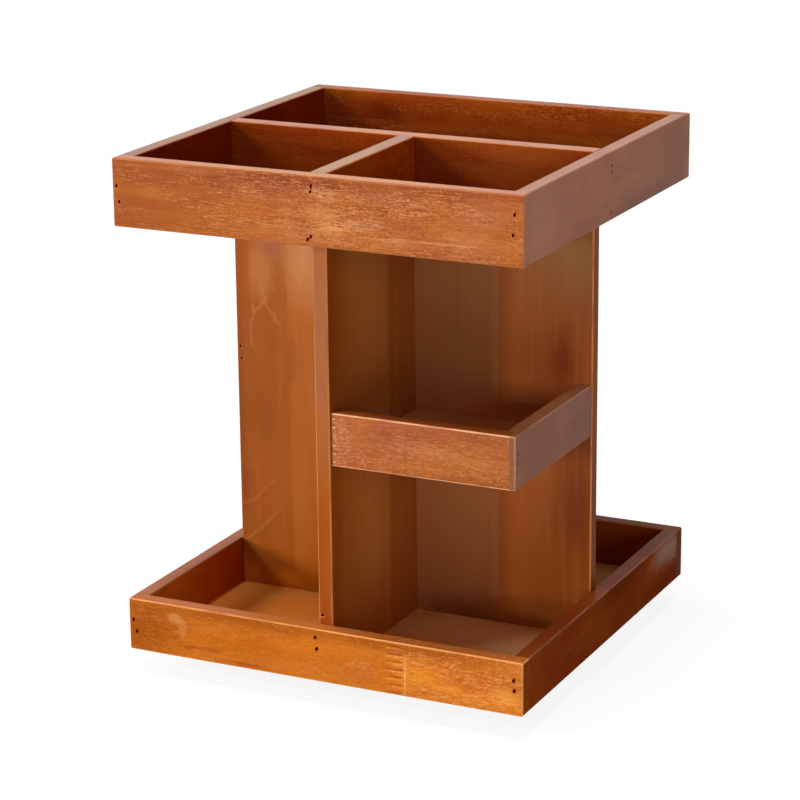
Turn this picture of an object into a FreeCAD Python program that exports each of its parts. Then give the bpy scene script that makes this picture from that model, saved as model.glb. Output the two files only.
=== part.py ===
"""Rotating makeup organizer: a nailed wooden carousel of two square trays and
crossed uprights, turning on a pressed-steel ball bearing over a round base.

Millimetres. +Z is up, +X runs along the front from left to right, and the
front faces -Y. The origin is on the surface the feet stand on, under the
turning axis.
"""
import FreeCAD, Part
import math
import os

os.makedirs("parts", exist_ok=True)

Vector = FreeCAD.Vector
UP = Vector(0, 0, 1)

# The wooden body, outside sizes
organizer_width = 300.0       # side to side
organizer_depth = 300.0       # front to back
organizer_height = 351.0      # from the bottom tray's underside to the top tray's rim
bottom_tray_height = 38.0
top_tray_height = 47.0

# Stock that the body is nailed together from
tray_board = 11.0             # thickness of the boards round both trays
upright_board = 10.4          # thickness of the crossed uprights
shelf_board = 10.4            # thickness of the boards round the corner shelves
divider_board = 12.0          # thickness of the top tray's dividers
floor_sheet = 4.0             # thickness of every tray and shelf floor
eased_edge = 0.9              # bevel planed off the outer edges
softened_rim = 0.6            # bevel on inner rims and dividers

# How the floors are let into the boards
floor_groove = 4.0            # depth of the groove or rebate that takes a floor
floor_play = 0.25             # gap at a floor's edge, at the bottom of its groove
top_floor_recess = 10.0       # from the top tray's lower edge up to its floor

# Where the uprights and dividers stand
front_upright_offset = -0.5   # of its middle, from the turning axis
long_divider_offset = 1.0     # of its middle, behind the turning axis
short_divider_offset = -0.8   # of its middle, from the turning axis

# The two corner shelves
shelf_height = 37.0
shelf_front_setback = 2.5     # behind the upright's outer edge
shelf_side_setback = 0.6      # inside the cross panel's end
shelf_lap = 4.3               # of the side board left in front of the lapped board
front_shelf_level = 147.0     # shelf's lower edge above the bottom tray's floor
rear_shelf_level = 156.0

# Finger joint between the two lengths of the bottom tray's front board
finger_joint_start = 49.4     # root of the joint, right of the middle
finger_length = 12.8
finger_pitch = 5.5
finger_tip = 0.9              # width of the blunt tip

# Base board and feet
base_rim = 13.0               # beyond the circle that the plates' screws lie on
base_thickness = 7.0
foot_diameter = 18.0
foot_height = 2.0
foot_inset = 10.0             # from the base board's edge to a foot
foot_bevel = 0.4
foot_count = 4
access_hole_radius = 8.0      # for a driver to reach the upper plate's screws

# Ball bearing turntable
plate_side = 150.0
plate_corner = 12.0           # leg of the clipped corners
plate_sheet = 1.2
bearing_height = 8.0
ball_diameter = 4.0
ball_circle_radius = 50.0
ball_count = 8
ball_bands = 4                # flats of a ball from pole to pole
ball_sides = 8                # flats of a ball round its middle
ball_play = 0.1               # between a ball and the pocket and groove it lies in
groove_slope = 30.0           # degrees from flat of the sides of a ball groove
race_rise = 1.6               # of a plate's race above its flat
race_ramp = 3.0               # radial run of the slope up to the race
hole_inset = 6.0              # of the plates' middle hole from the ball circle
collar_play = 0.1             # between the collar and the hole that turns on it
lip_play = 0.2                # between the collar's lip and the plate it holds down
lip_width = 3.0
cage_play = 0.2               # above and below the cage
cage_half_width = 3.6

# Screws that hold the plates to the base board and to the body
screw_inset = 10.0            # of a screw from the plate's edges
screw_radius = 1.6
screw_hole_play = 0.1
screw_head_radius = 3.4       # to the corners of the six-sided head
screw_head_height = 1.8
base_screw_grip = 5.0         # length in the base board
floor_screw_grip = 3.4        # length in the bottom tray's floor

# Levels, from the feet up
base_underside = foot_height
plate_seat = base_underside + base_thickness
bearing_middle = plate_seat + bearing_height / 2
body_underside = plate_seat + bearing_height
bottom_floor_top = body_underside + floor_sheet
bottom_rim = body_underside + bottom_tray_height
top_rim = body_underside + organizer_height
top_tray_underside = top_rim - top_tray_height
top_floor_underside = top_tray_underside + top_floor_recess
top_floor_top = top_floor_underside + floor_sheet

# Plan, from the turning axis out
half_width = organizer_width / 2
half_depth = organizer_depth / 2
inner_half_width = half_width - tray_board
inner_half_depth = half_depth - tray_board
cross_panel_face = upright_board / 2
race_foot_radius = ball_circle_radius + hole_inset + race_ramp
race_top = race_rise + plate_sheet
collar_radius = ball_circle_radius - hole_inset
screw_reach = plate_side / 2 - screw_inset
screw_circle_radius = math.hypot(screw_reach, screw_reach)
base_radius = screw_circle_radius + base_rim


def block(x0, x1, y0, y1, z0, z1):
    """Box between two corners."""
    return Part.makeBox(x1 - x0, y1 - y0, z1 - z0, Vector(x0, y0, z0))


def turned_half(shape):
    """The same shape half a turn round the axis."""
    copy = shape.copy()
    copy.rotate(Vector(0, 0, 0), UP, 180)
    return copy


def lathe(outline):
    """Solid of revolution about Z from a closed outline of (radius, height)."""
    points = [Vector(radius, 0, height) for radius, height in outline]
    face = Part.Face(Part.makePolygon(points + points[:1]))
    return face.revolve(Vector(0, 0, 0), UP, 360)


def edges_where(shape, wanted):
    """Edges whose two ends both satisfy wanted(point)."""
    return [e for e in shape.Edges if all(wanted(v.Point) for v in e.Vertexes)]


def near(a, b):
    """Whether two lengths are the same but for rounding."""
    return abs(a - b) < 1e-6


def is_vertical(edge):
    """Whether an edge runs straight up."""
    return near(edge.BoundBox.XLength, 0) and near(edge.BoundBox.YLength, 0)


def tray_ring(z0, height):
    """Square ring of a tray's four boards, with its edges eased as one."""
    outer = block(-half_width, half_width, -half_depth, half_depth, z0, z0 + height)
    outer = outer.makeChamfer(eased_edge, outer.Edges)
    hollow = block(-inner_half_width, inner_half_width,
                   -inner_half_depth, inner_half_depth, z0, z0 + height)
    ring = outer.cut(hollow)

    def on_inner_rim(p):
        """Whether a point is on the upper rim of the hollow."""
        return (near(p.z, z0 + height) and abs(p.x) < half_width - tray_board / 2
                and abs(p.y) < half_depth - tray_board / 2)
    return ring.makeChamfer(softened_rim, edges_where(ring, on_inner_rim))


def floor_space(z0, play=0.0):
    """What a tray's floor fills, grooves included, less play at its edges."""
    reach_x = inner_half_width + floor_groove - play
    reach_y = inner_half_depth + floor_groove - play
    return block(-reach_x, reach_x, -reach_y, reach_y, z0, z0 + floor_sheet)


def tray_boards(ring, floor_underside):
    """Front, back, left and right boards, grooved or rebated for the floor."""
    z0 = ring.BoundBox.ZMin
    z1 = ring.BoundBox.ZMax
    grooved = ring.cut(floor_space(floor_underside))
    front = block(-half_width, half_width, -half_depth, -inner_half_depth, z0, z1)
    left = block(-half_width, -inner_half_width, -inner_half_depth, inner_half_depth, z0, z1)
    back = turned_half(front)
    right = turned_half(left)
    zones = {"front": front, "back": back, "left": left, "right": right}
    return {side: grooved.common(zone) for side, zone in zones.items()}


def finger_profile(z0, z1):
    """Everything left of the finger joint, as a prism through the board."""
    points = [(-organizer_width, z0 - finger_pitch), (finger_joint_start, z0 - finger_pitch)]
    finger_end = finger_joint_start + finger_length
    half_pitch = finger_pitch / 2
    level = z0 - finger_pitch
    while level < z1:
        points.append((finger_joint_start, level + finger_tip / 2))
        points.append((finger_end, level + half_pitch - finger_tip / 2))
        points.append((finger_end, level + half_pitch + finger_tip / 2))
        points.append((finger_joint_start, level + finger_pitch - finger_tip / 2))
        level += finger_pitch
    points.append((finger_joint_start, level))
    points.append((-organizer_width, level))
    corners = [Vector(x, -organizer_depth, z) for x, z in points]
    face = Part.Face(Part.makePolygon(corners + corners[:1]))
    return face.extrude(Vector(0, organizer_depth, 0))


def bottom_tray():
    """Bottom tray: five lengths of board and the floor let into their lower edge."""
    boards = tray_boards(tray_ring(body_underside, bottom_tray_height), body_underside)
    long_length = finger_profile(body_underside, bottom_rim)
    front = boards.pop("front")
    nodes = {
        "bottom_front_board_long_length": front.common(long_length),
        "bottom_front_board_short_length": front.cut(long_length),
    }
    for side, board in boards.items():
        nodes["bottom_" + side + "_board"] = board
    nodes["bottom_floor"] = floor_space(body_underside, floor_play)
    return nodes


def top_tray():
    """Top tray: four boards grooved for the floor, which sits above their lower edge."""
    boards = tray_boards(tray_ring(top_tray_underside, top_tray_height), top_floor_underside)
    nodes = {"top_" + side + "_board": board for side, board in boards.items()}
    nodes["top_floor"] = floor_space(top_floor_underside, floor_play)
    return nodes


def soften_top(board):
    """Bevel the two long upper edges of a divider."""
    top = board.BoundBox.ZMax
    length = max(board.BoundBox.XLength, board.BoundBox.YLength)
    edges = [e for e in edges_where(board, lambda p: near(p.z, top)) if near(e.Length, length)]
    return board.makeChamfer(softened_rim, edges)


def top_dividers():
    """Long divider from side to side, short one from it to the front board."""
    long_front = long_divider_offset - divider_board / 2
    long_divider = block(-inner_half_width, inner_half_width,
                         long_front, long_front + divider_board, top_floor_top, top_rim)
    short_left = short_divider_offset - divider_board / 2
    short_divider = block(short_left, short_left + divider_board,
                          -inner_half_depth, long_front, top_floor_top, top_rim)
    return {
        "top_long_divider": soften_top(long_divider),
        "top_short_divider": soften_top(short_divider),
    }


def uprights():
    """Cross panel from side to side, and an upright nailed to each face of it."""
    cross = block(-inner_half_width, inner_half_width, -cross_panel_face, cross_panel_face,
                  bottom_floor_top, top_floor_underside)
    cross = cross.makeChamfer(eased_edge, [e for e in cross.Edges if is_vertical(e)])
    left = front_upright_offset - upright_board / 2
    front = block(left, left + upright_board, -inner_half_depth, -cross_panel_face,
                  bottom_floor_top, top_floor_underside)
    outer_edges = [e for e in edges_where(front, lambda p: near(p.y, -inner_half_depth))
                   if is_vertical(e)]
    front = front.makeChamfer(eased_edge, outer_edges)
    return {
        "cross_panel": cross,
        "front_upright": front,
        "rear_upright": turned_half(front),
    }


def corner_shelf(level):
    """Shelf in the front right corner: two lapped boards and a rebated floor."""
    x0 = front_upright_offset + upright_board / 2
    x1 = inner_half_width - shelf_side_setback
    y0 = -inner_half_depth + shelf_front_setback
    y1 = -cross_panel_face
    z0 = bottom_floor_top + level
    z1 = z0 + shelf_height
    inner_x = x1 - shelf_board
    inner_y = y0 + shelf_board
    boards = block(x0, x1, y0, y1, z0, z1).cut(block(x0, inner_x, inner_y, y1, z0, z1))
    boards = boards.makeChamfer(eased_edge, shelf_outer_edges(boards, x1, y0))
    floor = block(x0, inner_x + floor_groove, inner_y - floor_groove, y1, z0, z0 + floor_sheet)
    boards = boards.cut(floor)
    side_zone = block(inner_x, x1, y0, y1, z0, z1)
    lap = block(inner_x, x1 - shelf_lap, y0, inner_y, z0, z1)
    side = boards.common(side_zone.cut(lap))
    return {
        "front_board": boards.cut(side_zone.cut(lap)),
        "side_board": side,
        "floor": block(x0, inner_x + floor_groove - floor_play,
                       inner_y - floor_groove + floor_play, y1, z0, z0 + floor_sheet),
    }


def shelf_outer_edges(boards, outer_x, outer_y):
    """Edges along the shelf's two outer faces, but not where it meets the uprights."""
    front = edges_where(boards, lambda p: near(p.y, outer_y))
    side = edges_where(boards, lambda p: near(p.x, outer_x))
    corner = edges_where(boards, lambda p: near(p.x, outer_x) and near(p.y, outer_y))
    return [e for e in front + side if not is_vertical(e)] + corner


def shelves():
    """The corner shelf at the front right, and its fellow at the rear left."""
    nodes = {}
    for name, shape in corner_shelf(front_shelf_level).items():
        nodes["front_shelf_" + name] = shape
    for name, shape in corner_shelf(rear_shelf_level).items():
        nodes["rear_shelf_" + name] = turned_half(shape)
    return nodes


def screw_places():
    """Plan positions of the four screws of either plate."""
    return [(x, y) for x in (-screw_reach, screw_reach) for y in (-screw_reach, screw_reach)]


def plate_blank():
    """Flat square sheet with clipped corners, lying on z = 0."""
    half = plate_side / 2
    sheet = block(-half, half, -half, half, 0, plate_sheet)
    return sheet.makeChamfer(plate_corner, [e for e in sheet.Edges if is_vertical(e)])


def race_outline(hole_radius):
    """Section of a plate's race: a ramp up from the flat, the groove, and a rim round the hole.

    The sheet keeps its thickness through the groove, so its underside has the
    same slopes further down and a little further apart.
    """
    slope = math.radians(groove_slope)
    groove_bottom = bearing_height / 2 - (ball_diameter / 2 + ball_play) / math.cos(slope)
    under_bottom = groove_bottom - plate_sheet / math.cos(slope)
    groove_half = (race_top - groove_bottom) / math.tan(slope)
    under_half = (race_rise - under_bottom) / math.tan(slope)
    return [
        (hole_radius, race_top),
        (ball_circle_radius - groove_half, race_top),
        (ball_circle_radius, groove_bottom),
        (ball_circle_radius + groove_half, race_top),
        (race_foot_radius, plate_sheet),
        (race_foot_radius, 0),
        (ball_circle_radius + under_half, race_rise),
        (ball_circle_radius, under_bottom),
        (ball_circle_radius - under_half, race_rise),
        (hole_radius, race_rise),
    ]


def turntable_plate(hole_radius):
    """One pressed plate with its flat on z = 0 and its race towards +Z."""
    opening = Part.makeCylinder(race_foot_radius, plate_sheet)
    plate = plate_blank().cut(opening).fuse(lathe(race_outline(hole_radius)))
    for x, y in screw_places():
        hole = Part.makeCylinder(screw_radius + screw_hole_play, plate_sheet, Vector(x, y, 0))
        plate = plate.cut(hole)
    return plate


def turntable_plates():
    """Lower plate with its collar and lip, and the upper plate held under the lip."""
    collar_inner = collar_radius - plate_sheet
    lip_low = bearing_height - race_rise + lip_play
    lip_top = lip_low + plate_sheet
    collar = lathe([
        (collar_inner, race_rise),
        (collar_radius, race_rise),
        (collar_radius, lip_low),
        (collar_radius + lip_width, lip_low),
        (collar_radius + lip_width, lip_top),
        (collar_inner, lip_top),
    ])
    lower = turntable_plate(collar_radius).fuse(collar).removeSplitter()
    lower.translate(Vector(0, 0, plate_seat))
    upper = turntable_plate(collar_radius + collar_play).removeSplitter()
    upper.rotate(Vector(0, 0, 0), Vector(1, 0, 0), 180)
    upper.translate(Vector(0, 0, body_underside))
    return {"turntable_lower_plate": lower, "turntable_upper_plate": upper}


def polygon(radius, sides, height):
    """Closed outline of a level regular polygon about the Z axis."""
    angles = [2 * math.pi * i / sides for i in range(sides)]
    corners = [Vector(radius * math.cos(a), radius * math.sin(a), height) for a in angles]
    return Part.makePolygon(corners + corners[:1])


def ball():
    """Ball of small flats whose corners lie on the true sphere."""
    radius = ball_diameter / 2
    sections = [Part.Vertex(0, 0, -radius)]
    for band in range(1, ball_bands):
        angle = math.pi * band / ball_bands
        sections.append(polygon(radius * math.sin(angle), ball_sides, -radius * math.cos(angle)))
    sections.append(Part.Vertex(0, 0, radius))
    return Part.makeLoft(sections, True, True)


def ball_angles():
    """Bearings of the balls in degrees, evenly round the race."""
    return [360 * i / ball_count for i in range(ball_count)]


def turntable_balls():
    """All the balls of the race."""
    balls = []
    for angle in ball_angles():
        one = ball()
        one.translate(Vector(ball_circle_radius, 0, bearing_middle))
        one.rotate(Vector(0, 0, 0), UP, angle)
        balls.append(one)
    return {"turntable_balls": Part.makeCompound(balls)}


def turntable_cage():
    """Ring that keeps the balls apart, with a round pocket for each."""
    half_thickness = bearing_height / 2 - race_top - cage_play
    low = bearing_middle - half_thickness
    high = bearing_middle + half_thickness
    ring = lathe([
        (ball_circle_radius - cage_half_width, low),
        (ball_circle_radius + cage_half_width, low),
        (ball_circle_radius + cage_half_width, high),
        (ball_circle_radius - cage_half_width, high),
    ])
    for angle in ball_angles():
        pocket = Part.makeCylinder(ball_diameter / 2 + ball_play, high - low,
                                   Vector(ball_circle_radius, 0, low))
        pocket.rotate(Vector(0, 0, 0), UP, angle)
        ring = ring.cut(pocket)
    return {"turntable_ball_cage": ring}


def screw(grip):
    """Six-sided head standing on z = 0 over a shank that reaches the grip into the wood."""
    head = Part.Face(polygon(screw_head_radius, 6, 0)).extrude(Vector(0, 0, screw_head_height))
    length = plate_sheet + grip
    return head.fuse(Part.makeCylinder(screw_radius, length, Vector(0, 0, -length)))


def turntable_screws():
    """Four screws down into the base board and four up into the body's floor."""
    lower = []
    upper = []
    for x, y in screw_places():
        down = screw(base_screw_grip)
        down.translate(Vector(x, y, plate_seat + plate_sheet))
        lower.append(down)
        up = screw(floor_screw_grip)
        up.rotate(Vector(0, 0, 0), Vector(1, 0, 0), 180)
        up.translate(Vector(x, y, body_underside - plate_sheet))
        upper.append(up)
    return {
        "lower_plate_screws": Part.makeCompound(lower),
        "upper_plate_screws": Part.makeCompound(upper),
    }


def disc(radius, thickness, bevel):
    """Round board or pad standing on z = 0, bevelled on its upper rim."""
    return lathe([
        (0, 0),
        (radius, 0),
        (radius, thickness - bevel),
        (radius - bevel, thickness),
        (0, thickness),
    ])


def base():
    """Round base board with an access hole at the front, on rubber feet.

    As the body turns, each screw of the upper plate comes over the access
    hole, which lies clear of the lower plate.
    """
    board = disc(base_radius, base_thickness, eased_edge)
    board = board.cut(Part.makeCylinder(access_hole_radius, base_thickness,
                                        Vector(0, -screw_circle_radius, 0)))
    board.translate(Vector(0, 0, base_underside))
    foot_circle_radius = base_radius - foot_inset - foot_diameter / 2
    feet = []
    for i in range(foot_count):
        foot = disc(foot_diameter / 2, foot_height, foot_bevel)
        foot.rotate(Vector(0, 0, 0), Vector(1, 0, 0), 180)
        foot.translate(Vector(foot_circle_radius, 0, foot_height))
        foot.rotate(Vector(0, 0, 0), UP, 360 * (i + 0.5) / foot_count)
        feet.append(foot)
    return {"base_board": board, "rubber_feet": Part.makeCompound(feet)}


def main():
    """Write every piece to its own file."""
    groups = (base, turntable_plates, turntable_balls, turntable_cage, turntable_screws,
              bottom_tray, uprights, shelves, top_tray, top_dividers)
    for group in groups:
        for name, shape in group().items():
            shape.exportStep("parts/" + name + ".step")
            print(name, "solids", len(shape.Solids), "valid", shape.isValid(),
                  "volume", round(shape.Volume, 1))


main()
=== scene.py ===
import logging
import math
from dataclasses import dataclass, replace
from enum import Enum
from typing import Any, Callable, Iterable, Sequence, Union

import bpy
from mathutils import Matrix, Vector


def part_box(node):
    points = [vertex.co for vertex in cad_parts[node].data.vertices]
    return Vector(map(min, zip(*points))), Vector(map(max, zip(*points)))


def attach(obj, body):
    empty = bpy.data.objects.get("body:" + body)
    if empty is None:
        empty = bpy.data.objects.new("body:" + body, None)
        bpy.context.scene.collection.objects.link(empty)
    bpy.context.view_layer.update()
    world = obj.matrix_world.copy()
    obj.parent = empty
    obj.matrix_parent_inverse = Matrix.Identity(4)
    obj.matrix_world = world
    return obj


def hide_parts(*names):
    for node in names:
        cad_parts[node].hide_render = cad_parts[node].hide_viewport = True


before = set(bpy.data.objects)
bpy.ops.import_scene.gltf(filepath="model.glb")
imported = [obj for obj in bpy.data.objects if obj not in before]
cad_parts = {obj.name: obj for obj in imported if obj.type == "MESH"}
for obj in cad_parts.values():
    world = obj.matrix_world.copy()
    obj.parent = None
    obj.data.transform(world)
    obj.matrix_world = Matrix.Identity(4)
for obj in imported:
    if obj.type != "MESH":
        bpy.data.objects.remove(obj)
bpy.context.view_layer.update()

# Looks of a rotating makeup organizer: stained boards with sunk nail holes, a zinc-plated
# turntable on a round base, and the studio round them. Sizes are in millimetres unless a
# comment says otherwise, and MM turns them into the frame's metres.
MM = 0.001
LOG = logging.getLogger("organizer")

Colour = tuple[float, float, float, float]
Place = tuple[float, float, float]
Rows = tuple[tuple[Any, ...], ...]
Piece = bpy.types.Object
Material = bpy.types.Material

# Sockets of the Mix node's colour mode, which share their names with its other modes.
MIX_SHARE, MIX_UNDER, MIX_OVER, MIX_COLOUR = 0, 6, 7, 2
# How much of a normal lies along an axis where a face begins, and ends, to count as facing
# that way, or as the slope of an arris.
FACING = (0.80, 0.95)
SLANTED = (0.97, 0.85)
# How far patches reach to either side of a face: past its arrises, on the face of a thin
# panel, on a rim, and on end grain.
DEEP, SHALLOW, RIM, SKIN = 20.0, 3.0, 1.2, 1.0
# How far a board's patterns are shifted against those of the board before it.
BOARD_SHIFT = 137.0


def stain(code: str) -> Colour:
    """Turn a colour as seen on screen into the linear one that shaders take.

    Args:
        code: six hexadecimal digits, two each for red, green and blue.

    Returns:
        The linear colour with an opacity of 1.
    """
    linear = []
    for start in (0, 2, 4):
        value = int(code[start:start + 2], 16) / 255
        linear.append(value / 12.92 if value <= 0.04045 else ((value + 0.055) / 1.055) ** 2.4)
    return (linear[0], linear[1], linear[2], 1.0)


class Axis(Enum):
    """Axes that the grain of a board or the joints of a panel follow."""

    X = 0
    Y = 1
    Z = 2


class Side(Enum):
    """Outward normals of the upright faces that nails are driven into."""

    FRONT = (0.0, -1.0, 0.0)
    BACK = (0.0, 1.0, 0.0)
    LEFT = (-1.0, 0.0, 0.0)
    RIGHT = (1.0, 0.0, 0.0)

    def opposite(self) -> "Side":
        """The side that this one becomes after half a turn."""
        return Side(tuple(-part for part in self.value))


def direction(azimuth: float, elevation: float) -> Vector:
    """Point from the object to a place round it.

    Args:
        azimuth: degrees round the axis, from the front to the right.
        elevation: degrees up from the level.

    Returns:
        The unit vector.
    """
    turn, lift = math.radians(azimuth), math.radians(elevation)
    level = math.cos(lift)
    return Vector((math.sin(turn) * level, -math.cos(turn) * level, math.sin(lift)))


def maths(operation: str, swapped: bool = False) -> Callable[..., "Term"]:
    """Make a method of Term that adds a Math node.

    Args:
        operation: the Math node's operation.
        swapped: whether the term comes last, as in a reflected operator.

    Returns:
        The method, which takes the operation's other operands.
    """
    def method(self: "Term", *others: "Value") -> "Term":
        """Add the node and return its result."""
        operands = (*others, self) if swapped else (self, *others)
        return self.graph.node("Math", {"operation": operation}, operands)

    return method


class Term:
    """A shader value. Arithmetic on it adds Math nodes to its graph.

    highest gives the larger of two values, exp the power of e, and zigzag runs up to a number
    and back again, over and over.
    """

    __add__ = __radd__ = maths("ADD")
    __sub__ = maths("SUBTRACT")
    __rsub__ = maths("SUBTRACT", swapped=True)
    __mul__ = __rmul__ = maths("MULTIPLY")
    __truediv__ = maths("DIVIDE")
    __abs__ = maths("ABSOLUTE")
    highest = maths("MAXIMUM")
    exp = maths("EXPONENT")
    zigzag = maths("PINGPONG")

    def __init__(self, graph: "Graph", socket: bpy.types.NodeSocket) -> None:
        """Keep the graph and the output socket that the value comes from."""
        self.graph = graph
        self.socket = socket

    def step(self, low: float, high: float) -> "Term":
        """Rise smoothly from 0 to 1.

        Args:
            low: value at which the rise starts.
            high: value at which it ends, which may be under low for a fall.

        Returns:
            A term between 0 and 1.
        """
        ends = (self, low, high, 0.0, 1.0) if low < high else (self, high, low, 1.0, 0.0)
        settings = {"interpolation_type": "SMOOTHSTEP"}
        return self.graph.node("MapRange", settings, ends)


Value = Union[Term, float]


class Graph:
    """Node graph of a material or a room, with the helpers that the finishes share."""

    def __init__(self, owner: Union[Material, bpy.types.World]) -> None:
        """Start with an empty node tree.

        Args:
            owner: the new material or world that the tree belongs to.
        """
        owner.use_nodes = True
        self.owner = owner
        self.tree = owner.node_tree
        self.tree.nodes.clear()

    @classmethod
    def of_material(cls, name: str) -> "Graph":
        """Start the graph of a new material."""
        return cls(bpy.data.materials.new(name))

    def node(self, kind: str, settings: dict[str, Any] | None = None,
             inputs: Union[Sequence[Any], dict[Any, Any]] = (),
             output: Union[int, str] = 0) -> Term:
        """Add any node.

        Args:
            kind: the node's type, without the ShaderNode before it.
            settings: its properties, set first; "stops" fills a colour ramp.
            inputs: values or terms of its sockets, in order or by name.
            output: the output to return.

        Returns:
            That output.
        """
        made = self.tree.nodes.new(f"ShaderNode{kind}")
        for key, value in (settings or {}).items():
            if key == "stops":
                self._fill_ramp(made.color_ramp, value)
            else:
                setattr(made, key, value)
        pairs = inputs.items() if isinstance(inputs, dict) else enumerate(inputs)
        for key, value in pairs:
            socket = made.inputs[key]
            if isinstance(value, Term):
                self.tree.links.new(value.socket, socket)
            else:
                socket.default_value = value
        return Term(self, made.outputs[output])

    @staticmethod
    def _fill_ramp(ramp: bpy.types.ColorRamp, stops: Sequence[tuple[float, str]]) -> None:
        """Give a colour ramp its stops.

        Args:
            ramp: the ramp, which has two stops when new.
            stops: position and stain of each stop, in rising order.
        """
        while len(ramp.elements) < len(stops):
            ramp.elements.new(1.0)
        for element, (position, code) in zip(ramp.elements, stops):
            element.position = position
            element.color = stain(code)

    def place(self) -> Term:
        """Point on the piece, in millimetres of the frame."""
        raw = self.node("TexCoord", output="Object")
        inputs = {"Vector": raw, "Scale": 1 / MM}
        return self.node("VectorMath", {"operation": "SCALE"}, inputs)

    def parts(self, vector: Term) -> tuple[Term, Term, Term]:
        """Split a vector into its three numbers."""
        first = self.node("SeparateXYZ", None, (vector,))
        outputs = first.socket.node.outputs
        return first, Term(self, outputs[1]), Term(self, outputs[2])

    def move(self, vector: Term, shift: Place, scale: Place) -> Term:
        """Shift a point and then scale it, axis by axis."""
        settings = {"operation": "MULTIPLY_ADD"}
        offset = tuple(a * b for a, b in zip(shift, scale))
        return self.node("VectorMath", settings, (vector, scale, offset))

    def noise(self, vector: Term, detail: float, rough: float = 0.5, warp: float = 0.0) -> Term:
        """Soft noise of about unit size.

        Args:
            vector: where to read it.
            detail: octaves added to the first.
            rough: how strong each octave is against the one before.
            warp: distortion of the pattern.

        Returns:
            A term that stays mostly between 0.3 and 0.7.
        """
        inputs = {"Vector": vector, "Scale": 1.0, "Detail": detail, "Roughness": rough,
                  "Distortion": warp}
        return self.node("TexNoise", {"noise_dimensions": "3D"}, inputs)

    def blend(self, share: Value, under: Any, over: Any, mode: str = "MIX") -> Term:
        """Lay one colour over another.

        Args:
            share: how much of the upper colour shows, from 0 to 1.
            under: lower colour or term.
            over: upper colour or term.
            mode: the way the two are combined.

        Returns:
            The blended colour.
        """
        settings = {"data_type": "RGBA", "blend_type": mode, "clamp_factor": True}
        inputs = {MIX_SHARE: share, MIX_UNDER: under, MIX_OVER: over}
        return self.node("Mix", settings, inputs, MIX_COLOUR)

    def bump(self, height: Value, depth: float, strength: float) -> Term:
        """Surface normal over a relief whose depth is in millimetres."""
        inputs = {"Strength": strength, "Distance": depth * MM, "Height": height}
        return self.node("Bump", None, inputs)

    def surface(self, shader: Term, end: str = "OutputMaterial") -> None:
        """Send a shader to the surface output."""
        made = self.tree.nodes.new(f"ShaderNode{end}")
        self.tree.links.new(shader.socket, made.inputs["Surface"])

    def finish(self, **sockets: Any) -> Material:
        """End the graph in a Principled shader.

        Args:
            sockets: the shader's sockets, with an underscore for each space.

        Returns:
            The finished material.
        """
        inputs = {key.replace("_", " "): value for key, value in sockets.items()}
        self.surface(self.node("BsdfPrincipled", None, inputs))
        return self.owner


@dataclass(frozen=True)
class Patch:
    """A soft-edged spot of another tone on a board: where the stain took unevenly, and in some
    places painted light and shade.
    """

    centre: Place
    reach: Place
    colour: str
    strength: float
    ragged: float = 0.3
    edge: float = 1.0
    flecks: float = 0.0


def on_face(axis: Axis, level: float, depth: float, rows: Rows) -> tuple[Patch, ...]:
    """Lay patches on one face of a board.

    Args:
        axis: the axis that the face lies across.
        level: where the face lies on that axis.
        depth: how far the patches reach to either side of the face.
        rows: place and reach of each patch along the two other axes, then the rest as in Patch.

    Returns:
        The patches, in the rows' order.
    """
    patches = []
    for first, second, wide, high, *rest in rows:
        centre, reach = [first, second], [wide, high]
        centre.insert(axis.value, level)
        reach.insert(axis.value, depth)
        patches.append(Patch(tuple(centre), tuple(reach), *rest))
    return tuple(patches)


@dataclass(frozen=True)
class Staves:
    """Glued strips across a panel. Two stops close together make a joint. On the cross panel
    some stops also carry painted light and shade.
    """

    across: Axis
    stops: tuple[tuple[float, str], ...]
    share: float = 0.8
    wave: float = 3.0


@dataclass(frozen=True)
class FingerMarks:
    """Row of dark, pointed dashes that a finger joint leaves on the face of a board."""

    foot: float
    start: float
    length: float
    pitch: float
    thickness: float = 1.0
    colour: str = "76340e"
    glue: str = "eaa468"
    share: float = 0.8
    wander: float = 3.6
    glue_lift: float = 1.5
    glue_share: float = 0.6


@dataclass(frozen=True)
class Flames:
    """Nested pointed arches of the growth rings, on a panel cut along the trunk."""

    across: Axis
    centre: float
    foot: float
    rise: float = 62.0
    width: float = 35.0
    spacing: float = 27.0
    line: float = 2.4
    shade: float = 5.0
    bend: float = 16.0
    far_side: tuple[float, float] = (-8.0, -20.0)
    colour: str = "d08a4c"
    share: float = 0.3
    far_share: float = 0.2


@dataclass(frozen=True)
class Hollow:
    """Inside of a tray: how far it reaches from the axis, its rim, and the darker tint there,
    which is stain together with painted shade.
    """

    reach: float
    rim: float
    colour: str


@dataclass(frozen=True)
class Figure:
    """A noise drawn out along the grain. Apart shifts it against the board's others."""

    along: float
    across: float
    detail: float = 2.0
    rough: float = 0.5
    warp: float = 0.0
    apart: float = 0.0


STREAKS = Figure(120.0, 7.0, 3.0, 0.55, 0.2, 11.0)
FIBRES = Figure(10.0, 0.9, 2.0, 0.6, 0.1, 17.0)
DASHES = Figure(2.6, 0.9, 1.0, 0.5, 0.3, 37.0)
DRIFT = Figure(40.0, 14.0, apart=31.0)
SHEEN = Figure(60.0, 24.0, apart=23.0)
RUBBED = Figure(30.0, 4.0, apart=47.0)
RAGGED = Figure(14.0, 6.0, 4.0, 0.6, 0.3, 61.0)
STAVE_WAVE = Figure(90.0, 90.0, 1.0, apart=71.0)
RING_BEND = Figure(60.0, 22.0, apart=53.0)
RING_GAPS = Figure(12.0, 9.0, 2.0, 0.6, apart=57.0)
GLUE_WANDER = Figure(6.0, 2.5, 2.0, 0.6, apart=83.0)
GLUE_GAPS = Figure(3.0, 2.0, 2.0, 0.6, apart=89.0)


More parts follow.
